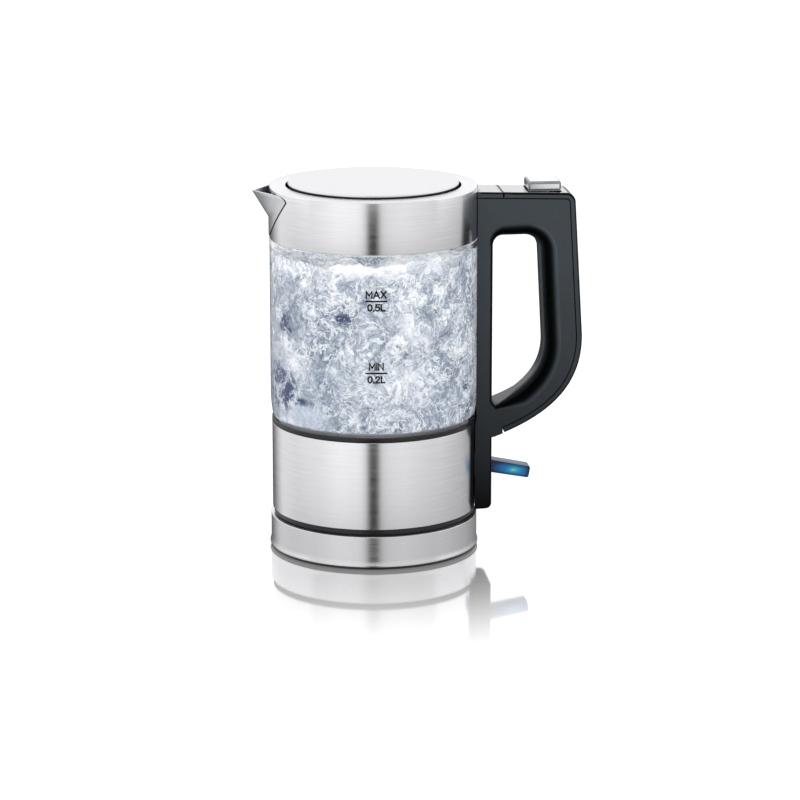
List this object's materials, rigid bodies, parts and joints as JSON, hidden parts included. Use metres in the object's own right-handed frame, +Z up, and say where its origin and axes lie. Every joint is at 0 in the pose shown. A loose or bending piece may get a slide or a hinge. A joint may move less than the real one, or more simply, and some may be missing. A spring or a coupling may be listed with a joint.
{
  "type": "electric kettle",
  "caption": "Cordless kettle: glass jug with steel collar, V spout and lower band, hinged lid, closed black handle, lid-release button and lit power lever on a round base.",
  "frame": {"origin": "on the jug's axis, in the plane the base stands on", "axes": "+Z up along the jug's axis, +X towards the handle, -X towards the spout, -Y the side with the level marks"},
  "size_m": [0.1685, 0.1076, 0.1903],
  "materials": {
    "brushed_steel": "horizontal brushed stainless steel",
    "inner_steel": "satin stainless steel",
    "black_plastic": "fine matt black",
    "handle_plastic": "satin charcoal black",
    "rubber_foot": "matt anti-slip rubber",
    "connector_plastic": "glass-filled black",
    "contact_brass": "plain stamped brass",
    "fastener_steel": "zinc-plated steel",
    "control_plastic": "cream heat-proof moulding",
    "bimetal": "rolled bimetal strip",
    "element_aluminium": "cast and brazed aluminium",
    "silicone_seal": "translucent white silicone",
    "wire_sleeve": "silicone sleeve",
    "glass": "clear borosilicate glass",
    "button_silver": "satin silver plating",
    "latch_plastic": "plain grey acetal",
    "duct_plastic": "natural polypropylene",
    "lever_translucent": "translucent blue-lit lever",
    "lamp": "clear lamp"
  },
  "bodies": {
    "base": {"base_ring": "brushed_steel", "base_top_plate": "black_plastic", "base_bottom_plate": "black_plastic", "base_foot_ring": "rubber_foot", "base_connector": "connector_plastic", "base_contacts": "contact_brass", "base_screws": "fastener_steel", "cord_gland": "black_plastic"},
    "plug": {"plug_housing": "connector_plastic", "plug_contacts": "contact_brass"},
    "jug": {"jug_bottom_cover": "black_plastic", "lower_band": "brushed_steel", "control_unit": "control_plastic", "bimetal_discs": "bimetal", "heating_plate": "inner_steel", "heating_element": "element_aluminium", "lower_seal": "silicone_seal", "lower_ring": "black_plastic", "inner_wires": "wire_sleeve", "control_screws": "fastener_steel", "glass_body": "glass", "upper_seal": "silicone_seal", "collar": "brushed_steel", "spout": "brushed_steel", "collar_liner": "black_plastic", "hinge_pin": "fastener_steel", "handle_body": "handle_plastic", "handle_cover": "handle_plastic", "hinge_cover": "handle_plastic", "button_spring": "fastener_steel", "latch_spring": "fastener_steel", "lid_spring": "fastener_steel", "steam_duct": "duct_plastic", "steam_bimetal": "bimetal", "switch_frame": "control_plastic", "switch_pin": "fastener_steel", "handle_screws": "fastener_steel"},
    "lid": {"lid_cap": "brushed_steel", "lid_shell": "black_plastic", "lid_plate": "inner_steel"},
    "button": {"lid_button": "button_silver"},
    "latch": {"latch_slider": "latch_plastic"},
    "lever": {"switch_lever": "lever_translucent", "switch_lamp": "lamp"}
  },
  "joints": [
    {"name": "jug_lift", "type": "slide", "parent": "base", "child": "plug", "axis": [0, 0, 1], "range_m": [0, 0.12]},
    {"name": "jug_swivel", "type": "hinge", "parent": "plug", "child": "jug", "pos_m": [0, 0, 0.02], "axis": [0, 0, 1], "continuous": true},
    {"name": "lid_hinge", "type": "hinge", "parent": "jug", "child": "lid", "pos_m": [0.0488, 0, 0.184], "axis": [0, 1, 0], "range_deg": [0, 78], "deforming": ["lid_spring"]},
    {"name": "button_press", "type": "slide", "parent": "jug", "child": "button", "axis": [0, 0, -1], "range_m": [0, 0.003], "stiffness_N_per_m": 600, "springref_m": -0.003, "deforming": ["button_spring"]},
    {"name": "latch_draw", "type": "slide", "parent": "jug", "child": "latch", "axis": [1, 0, 0], "range_m": [0, 0.003], "deforming": ["latch_spring"]},
    {"name": "lever_rock", "type": "hinge", "parent": "jug", "child": "lever", "pos_m": [0.05, 0, 0.0419], "axis": [0, -1, 0], "range_deg": [0, 16]}
  ],
  "couplings": [
    {"joint": "latch_draw", "follows": "button_press", "ratio": 1}
  ]
}
